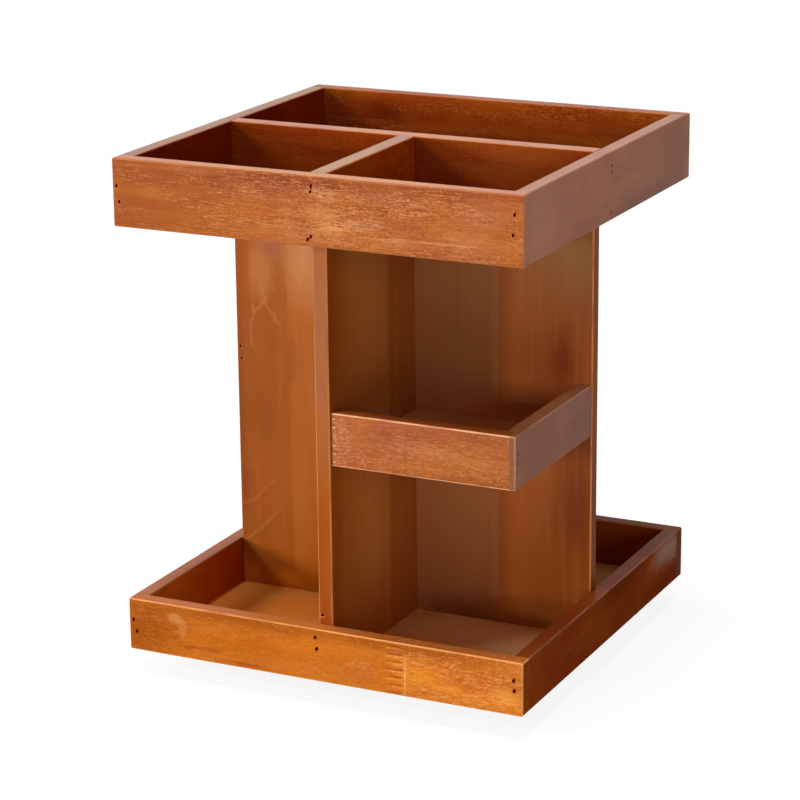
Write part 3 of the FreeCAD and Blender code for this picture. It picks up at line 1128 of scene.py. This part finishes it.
@dataclass
class BottomTray(NailedGroup):
    """The low tray that the uprights stand on."""

    name: str = "bottom_tray"
    shift: float = 1300.0
    half: float = 150.0
    inner: float = 139.0
    rim: float = 55.0
    floor: float = 21.0
    floor_depth: float = 9.0
    holes: NailHoles = NailHoles(fibres=PlainFinish("stained_fibres", "7c3c14", "a86028", 0.5,
                                                    0.7, relief=0.05, gloss=0.1))
    joint: FingerMarks = FingerMarks(19.0, 48.4, 13.6, 5.5, share=0.65)

    def boards(self) -> tuple[Board, ...]:
        """The boards, with their grain and marks."""
        rim = self.rim + 0.5
        long_length = on_face(Axis.Y, -self.half, DEEP, LONG_LENGTH) + (
            Patch((-60, -144.5, rim), (160, 8, RIM), "e08448", 0.5, 0.1, 0.5),)
        short_length = on_face(Axis.Y, -self.half, DEEP, SHORT_LENGTH) + (
            Patch((100, -144.5, rim), (90, 8, RIM), "c86c34", 0.4, 0.1, 0.5),)
        back = (Patch((-self.half, 144.5, 36), (SKIN, 20, 60), "dc9c60", 0.8, 0, 0.3),)
        left = (Patch((-140.5, 0, rim), (4, 220, RIM), "a0542c", 0.6, 0.1, 0.4),)
        right = (on_face(Axis.X, self.half, DEEP, LOW_RIGHT)
                 + on_face(Axis.Z, rim, RIM, LOW_RIGHT_RIM))
        # The last two columns tint the inside and the up-facing faces, with painted shade and
        # light as well as stain.
        table = (("bottom_back_board", Axis.X, LOW_BACK, back, "f4cca4", "c4c4c4"),
                 ("bottom_left_board", Axis.Y, LOW_LEFT, left, "fffac0", "f8f8ff"),
                 ("bottom_right_board", Axis.Y, LOW_SIDE, right, "e0b080", "ffffff"))
        # The bottom floor's dust, painted light and painted shade.
        light = on_face(Axis.Z, self.floor, self.floor_depth, FLOOR_DUST_AND_PAINTED_LIGHT)
        return (
            Board("bottom_front_board_long_length", Axis.X, LOW_FRONT, long_length,
                  fingers=self.joint),
            Board("bottom_front_board_short_length", Axis.X, LOW_SHORT, short_length,
                  fingers=self.joint, top="f8f8ff"),
            Board("bottom_floor", Axis.X, LOW_FLOOR, light),
        ) + tray_boards(self.inner, self.rim, table)

    def nails(self) -> tuple[Nail, ...]:
        """The nails that show."""
        front = ((-146.2, 39.0), (-143.8, 30.7), (-3.1, 48.6), (-2.1, 40.4),
                 (143.6, 41.8), (144.1, 34.6))
        return both_ways(Nail(Side.FRONT, self.half, *spot, 18.0, 4.0, 2.9) for spot in front)


@dataclass
class Uprights(NailedGroup):
    """The cross panel and the two uprights nailed to it."""

    name: str = "uprights"
    shift: float = 2600.0
    slot: str = "upright_panel"
    panel_face: float = 5.2
    upright_face: float = 4.7
    edge: float = 139.0

    def boards(self) -> tuple[Board, ...]:
        """The boards, with their grain and marks."""
        panel_end = ((0, 176, 20, 400, "8d4a26", 0.9, 0, 0.2),
                     (0, 90, 20, 90, "6c3418", 0.6, 0, 0.8))
        upright_side = ((-70, 205, 90, 30, "7a2c00", 0.4, 0.1),
                        (-70, 30, 90, 60, "983c00", 0.6, 0.1))
        upright_end = ((0, 70, 20, 150, "944000", 0.9, 0.1, 0.8),
                       (0, 270, 20, 130, "a06244", 0.6, 0.1))
        panel = (on_face(Axis.Y, -self.panel_face, SHALLOW, PANEL_TONE_AND_PAINTED_LIGHT)
                 + on_face(Axis.X, self.edge, SKIN * 0.9, panel_end))
        upright = (on_face(Axis.X, self.upright_face, SKIN, upright_side)
                   + on_face(Axis.Y, -self.edge, SKIN, upright_end))
        # On the right bay, from 5 on, the stops are lighter towards the front upright and darker
        # towards the right end: painted light and shade over the staves, whose joints sit at
        # 25.5 and 69.5.
        across = Staves(Axis.X, ((-139.0, "9a4e16"), (-96.8, "a25618"), (-96.2, "ae5f20"),
                                 (-10.0, "ae5f20"), (5.0, "cc8854"), (25.5, "ca8652"),
                                 (26.1, "cc8854"), (58.0, "ce8a56"), (69.2, "a86034"),
                                 (69.8, "9c5220"), (100.0, "904a1a"), (139.0, "7e3e16")))
        front = Staves(Axis.Y, ((-139.0, "a65c24"), (-138.4, "a65c24"), (-137.4, "803404"),
                                (-131.0, "863c08"), (-122.0, "944c14"), (-108.0, "a25a20"),
                                (-80.0, "b66c32"), (-52.0, "b06a2e"), (-46.8, "a45c22"),
                                (-46.2, "97541e"), (-5.0, "944e20")))
        rear = Staves(Axis.Y, ((5.0, "944e20"), (46.2, "97541e"), (46.8, "a45c22"),
                               (110.0, "a65c22"), (139.0, "984c16")))
        return (Board("cross_panel", Axis.Z, PANEL, panel, across,
                      flames=Flames(Axis.X, -97.0, 34.2)),
                Board("front_upright", Axis.Z, PANEL, upright, front),
                Board("rear_upright", Axis.Z, PANEL, (), rear))

    def nails(self) -> tuple[Nail, ...]:
        """The nails that show."""
        return both_ways((
            Nail(Side.FRONT, self.panel_face, -135.8, 202.3, 6.0, 3.2, 2.1),
            Nail(Side.FRONT, self.panel_face, -135.0, 193.1, 6.0, 3.7, 2.1),
            Nail(Side.FRONT, self.edge, -3.0, 61.0, 60.0, 4.4, 3.0)))


@dataclass
class Shelves(NailedGroup):
    """The two corner shelves."""

    name: str = "shelves"
    shift: float = 3900.0
    slot: str = "shelf_board"
    front_face: float = 136.5
    side_face: float = 138.4
    middle: float = 187.0
    rear_lift: float = 9.0

    def boards(self) -> tuple[Board, ...]:
        """The boards, with their grain and marks."""
        front = on_face(Axis.Y, -self.front_face, DEEP, SHELF_FRONT)
        side = (
            Patch((self.side_face, -20, self.middle), (DEEP, 50, 40), "6c3418", 0.5, 0.2),
            # The side board's rim is lighter, as it lies in the top tray's shade: painted light.
            Patch((133, -70, 205.5), (12, 140, RIM), "c08454", 0.85, 0.1, 0.6),
            Patch((133, -self.front_face, self.middle), (9, SKIN, 60), "885434", 0.9, 0, 0.3))
        # The shelf floors are lighter all over, lifting their deep shade: painted light.
        shelf_floor_painted_light = (Patch((0, 0, 176), (400, 400, 90), "e0a05e", 0.9, 0, 0.3),)
        nicks = FingerMarks(171.0, 5.0, 2.6, 6.0, 0.9, "f0c4a0", "c88058", 0.6)
        boards = [Board("front_shelf_front_board", Axis.X, SHELF, front, fingers=nicks,
                        top="fff0e0"),
                  Board("rear_shelf_front_board", Axis.X, SHELF, top="fff0e0")]
        for corner in ("front", "rear"):
            boards += [Board(f"{corner}_shelf_side_board", Axis.Y, SHELF_SIDE, side,
                             top="fff4f4"),
                       Board(f"{corner}_shelf_floor", Axis.X, LOW_FLOOR, shelf_floor_painted_light)]
        return tuple(boards)

    def nails(self) -> tuple[Nail, ...]:
        """The nails that show. Those at the rear sit a little higher."""
        front = tuple(Nail(Side.RIGHT, self.side_face, -131.4, height, 8.0, 2.6, 1.6)
                      for height in (191.9, 185.4))
        return front + tuple(replace(nail.opposite(), height=nail.height + self.rear_lift)
                             for nail in front)


@dataclass
class Turntable:
    """The pressed-steel ball bearing on its round base, with its screws and pads."""

    ball_radius: float = 2.0
    ball_count: int = 8
    ball_circle: float = 50.0
    screw_offset: float = 65.0
    head_radius: float = 3.4
    head_height: float = 1.8
    head_round: float = 0.9
    shank_radius: float = 1.5
    recess: tuple[float, float, float] = (0.7, 3.2, 1.0)
    pad_circle: float = 85.924
    pad_radius: float = 9.0
    pad_height: float = 2.0
    pad_round: float = 0.5
    pad_rim: float = 2.0
    dish_slope: float = 0.8
    dish_depth: float = 0.5

    def balls(self) -> None:
        """Model the balls round and true, in place of the faceted ones."""
        level = sum(corner.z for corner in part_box("turntable_balls")) / 2
        Workshop.clear()
        bpy.ops.mesh.primitive_ico_sphere_add(subdivisions=2, radius=self.ball_radius * MM,
                                              location=(0, 0, 0))
        pattern = bpy.context.object
        Workshop.edit()
        bpy.ops.mesh.subdivide(number_cuts=1, smoothness=1.0)
        bpy.ops.mesh.faces_shade_smooth()
        Workshop.edit("OBJECT")
        step = 2 * math.pi / self.ball_count
        arm = Matrix.Translation((self.ball_circle * MM, 0, 0))
        places = [Matrix.Translation((0, 0, level)) @ Matrix.Rotation(step * i, 4, "Z") @ arm
                  for i in range(self.ball_count)]
        piece = Workshop.repeat(pattern, places, "polished_balls")
        finish = PlainFinish("polished_steel", "c8c8cc", "dcdce0", 3.0, 0.14, 1.0, 0.004)
        self._stand_for(piece, "turntable_balls", "bearing_ball", "base", finish)

    def screws(self) -> None:
        """Model the pan heads with a crossed recess, in place of the plain ones."""
        finish = PlainFinish("zinc_screw", "a8aaac", "c6c8ca", 1.0, 0.3, 1.0)
        for node, body, over in (("lower_plate_screws", "base", True),
                                 ("upper_plate_screws", "carousel", False)):
            low, high = (corner.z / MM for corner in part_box(node))
            pattern = self._screw(high - low)
            flip = Matrix.Identity(4) if over else Matrix.Rotation(math.pi, 4, "X")
            corners = self._corners(self.screw_offset, high if over else low)
            places = [corner @ flip for corner in corners]
            piece = Workshop.repeat(pattern, places, f"{node}_with_recess")
            self._stand_for(piece, node, "screw_steel", body, finish)

    def _screw(self, length: float) -> Piece:
        """Shape a screw that hangs down from its head's top at z = 0.

        Args:
            length: its whole length.

        Returns:
            The screw.
        """
        screw = Workshop.cylinder(self.head_radius, -self.head_height, 0.0, 24)
        Workshop.pick(lambda centre, normal: normal.z < -0.9)
        bpy.ops.mesh.inset(thickness=(self.head_radius - self.shank_radius) * MM, depth=0)
        bpy.ops.mesh.extrude_region_move(
            TRANSFORM_OT_translate={"value": (0, 0, (self.head_height - length) * MM)})
        bpy.ops.mesh.inset(thickness=self.head_round * MM, depth=0)
        Workshop.pick(lambda centre, normal: normal.z > 0.9)
        bpy.ops.mesh.bevel(offset=self.head_round * MM, segments=4, affect="EDGES")
        Workshop.edit("OBJECT")
        self._cut_recess(screw)
        return screw

    def _cut_recess(self, screw: Piece) -> None:
        """Cut the crossed recess into a screw's head.

        Args:
            screw: the screw, with its head's top at z = 0.
        """
        wide, long, deep = self.recess
        for size in ((wide, long, deep), (long, wide, deep)):
            Workshop.clear()
            bpy.ops.mesh.primitive_cube_add(size=MM, location=(0, 0, 0))
            cutter = bpy.context.object
            cutter.data.transform(Matrix.Diagonal((*size, 1.0)))
            Workshop.clear()
            bpy.context.view_layer.objects.active = screw
            cut = screw.modifiers.new("recess", "BOOLEAN")
            cut.operation = "DIFFERENCE"
            cut.object = cutter
            bpy.ops.object.modifier_apply(modifier=cut.name)
            bpy.data.objects.remove(cutter)

    def pads(self) -> None:
        """Model the rubber pads with a rounded rim and a dished foot."""
        pattern = Workshop.cylinder(self.pad_radius, 0.0, self.pad_height, 48)
        Workshop.pick(lambda centre, normal: normal.z < -0.9)
        bpy.ops.mesh.bevel(offset=self.pad_round * MM, segments=4, affect="EDGES")
        Workshop.pick(lambda centre, normal: normal.z < -0.9 and centre.z < 0.01)
        bpy.ops.mesh.inset(thickness=self.pad_rim * MM, depth=0)
        bpy.ops.mesh.inset(thickness=self.dish_slope * MM, depth=-self.dish_depth * MM)
        Workshop.edit("OBJECT")
        places = self._corners(self.pad_circle / math.sqrt(2), 0.0)
        piece = Workshop.repeat(pattern, places, "dished_pads")
        finish = PlainFinish("pad_rubber", "101010", "1e1e1e", 0.5, 0.75, 0.0, 0.04)
        self._stand_for(piece, "rubber_feet", "foot_rubber", "base", finish)

    @staticmethod
    def _corners(reach: float, level: float) -> list[Matrix]:
        """Places at the four corners of a square round the axis."""
        return [Matrix.Translation((reach * x * MM, reach * y * MM, level * MM))
                for x in (-1, 1) for y in (-1, 1)]

    @staticmethod
    def _stand_for(piece: Piece, node: str, slot: str, body: str,
                   finish: PlainFinish) -> None:
        """Dress a piece and let it replace a carried-over one.

        Args:
            piece: the new piece.
            node: the piece that it stands for.
            slot: the material slot of both; not used.
            body: the body that it rides on.
            finish: its finish.
        """
        Workshop.dress(piece, finish.material())
        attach(piece, body)
        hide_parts(node)

    def build(self) -> None:
        """Dress the carried-over pieces and model the rest."""
        zinc = PlainFinish("zinc_plate", "8e9094", "b4b6ba", 4.0, 0.38, 1.0, 0.02)
        cage = PlainFinish("moulded_cage", "c8c6bc", "dcdad0", 0.8, 0.55, 0.0, 0.01)
        fibreboard = WoodFinish("base_stain", red="5c2c14", amber="70381a", pale="8a5430",
                                flecks=0.1, lines=0.2, coat=0.3, top_coat=0.3)
        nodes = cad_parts
        for node in ("turntable_lower_plate", "turntable_upper_plate"):
            Workshop.dress(nodes[node], zinc.material())
        Workshop.dress(nodes["turntable_ball_cage"], cage.material())
        board = Board("base_board", Axis.X, fibreboard)
        Workshop.dress(nodes["base_board"], WoodShader(board, 5200.0).material())
        self.balls()
        self.screws()
        self.pads()
        LOG.info("turntable: plates, cage, %d balls, screws and pads", self.ball_count)


@dataclass(frozen=True)
class Lamp:
    """A square soft box, placed by its direction from the object."""

    name: str
    azimuth: float
    elevation: float
    distance: float
    size: float
    level: float

    def hang(self, aim: Vector) -> None:
        """Hang the soft box and turn it to the object.

        Args:
            aim: what it points at, in metres.
        """
        away = direction(self.azimuth, self.elevation)
        data = bpy.data.lights.new(self.name, "AREA")
        data.size = self.size
        data.energy = self.level * (math.pi * self.distance) ** 2
        made = bpy.data.objects.new(self.name, data)
        made.location = aim + away * self.distance
        made.rotation_euler = away.to_track_quat("Z", "Y").to_euler()
        bpy.context.scene.collection.objects.link(made)


@dataclass(frozen=True)
class Studio:
    """Camera, lamps, floor and backdrop. Lamp sizes and distances are in metres."""

    camera_place: Place = (829.3, -1729.7, 746.4)
    camera_azimuth: float = 25.89
    camera_elevation: float = 16.546
    camera_roll: float = -0.57
    focal_pixels: float = 2816.0
    picture_pixels: float = 800.0
    film_width: float = 36.0
    aim: Place = (0.0, 0.0, 190.0)
    floor_side: float = 3000.0
    key: Lamp = Lamp("key_box", -25.5, 5.0, 4.0, 0.5, 0.48)
    high: Lamp = Lamp("high_box", -42.0, 25.0, 4.0, 0.9, 0.32)
    fill: Lamp = Lamp("fill_box", 62.0, 8.0, 4.0, 1.8, 0.23)
    overhead: Lamp = Lamp("overhead_box", 0.0, 86.0, 2.4, 0.9, 0.7)
    back: Lamp = Lamp("back_box", 250.0, 30.0, 4.0, 1.8, 0.25)
    room_light: float = 0.14
    paper: float = 0.85
    bounce: float = 0.7
    glow: float = 1.1
    glow_share: float = 0.8

    def add_camera(self) -> None:
        """Stand the camera where the photograph was taken from."""
        back = direction(self.camera_azimuth, self.camera_elevation)
        right = direction(self.camera_azimuth + 90.0, 0.0)
        turn = Matrix((right, back.cross(right), back)).transposed()
        roll = Matrix.Rotation(math.radians(self.camera_roll), 3, "Z")
        data = bpy.data.cameras.new("camera")
        data.sensor_width = self.film_width
        data.lens = self.focal_pixels / self.picture_pixels * self.film_width
        camera = bpy.data.objects.new("camera", data)
        camera.matrix_world = (Matrix.Translation(Vector(self.camera_place) * MM)
                               @ (turn @ roll).to_4x4())
        bpy.context.scene.collection.objects.link(camera)
        bpy.context.scene.camera = camera

    @staticmethod
    def seen(graph: Graph) -> Term:
        """1 for rays from the lens, from gloss and through glass, and 0 for the rest."""
        lens = graph.node("LightPath", output="Is Camera Ray")
        outputs = lens.socket.node.outputs
        return lens.highest(Term(graph, outputs["Is Glossy Ray"])).highest(
            Term(graph, outputs["Is Transmission Ray"]))

    def add_floor(self) -> None:
        """Lay the pale floor that the object stands on."""
        Workshop.clear()
        bpy.ops.mesh.primitive_plane_add(size=self.floor_side * MM, location=(0, 0, 0))
        floor = bpy.context.object
        floor.name = "studio_floor"
        graph = Graph.of_material("pale_floor")
        paper, bounce = (
            graph.node("BsdfDiffuse", None, {"Color": (tone, tone, tone, 1.0)})
            for tone in (self.paper, self.bounce))
        glow = graph.node("Emission", None, {"Strength": self.glow})
        shown = graph.node("MixShader", None, (self.glow_share, paper, glow))
        graph.surface(graph.node("MixShader", None, (self.seen(graph), bounce, shown)))
        Workshop.dress(floor, graph.owner)

    def add_backdrop(self) -> None:
        """Make the room white to the lens and dimmer as a source of light."""
        world = bpy.data.worlds.new("studio_room")
        bpy.context.scene.world = world
        graph = Graph(world)
        strength = self.seen(graph) * (1.0 - self.room_light) + self.room_light
        shader = graph.node("Background", None,
                            {"Color": (1.0, 1.0, 1.0, 1.0), "Strength": strength})
        graph.surface(shader, "OutputWorld")

    def build(self) -> None:
        """Set up the whole studio."""
        bpy.context.scene.view_settings.view_transform = "Standard"
        self.add_camera()
        for lamp in (self.key, self.high, self.fill, self.overhead, self.back):
            lamp.hang(Vector(self.aim) * MM)
        self.add_floor()
        self.add_backdrop()
        LOG.info("studio: camera, five soft boxes, floor and backdrop")


def main() -> None:
    """Dress the frame and add the pieces."""
    logging.basicConfig(level=logging.INFO, format="%(name)s: %(message)s")
    for part in (Studio(), TopTray(), BottomTray(), Uprights(), Shelves(), Turntable()):
        part.build()


if __name__ == "__main__":
    main()
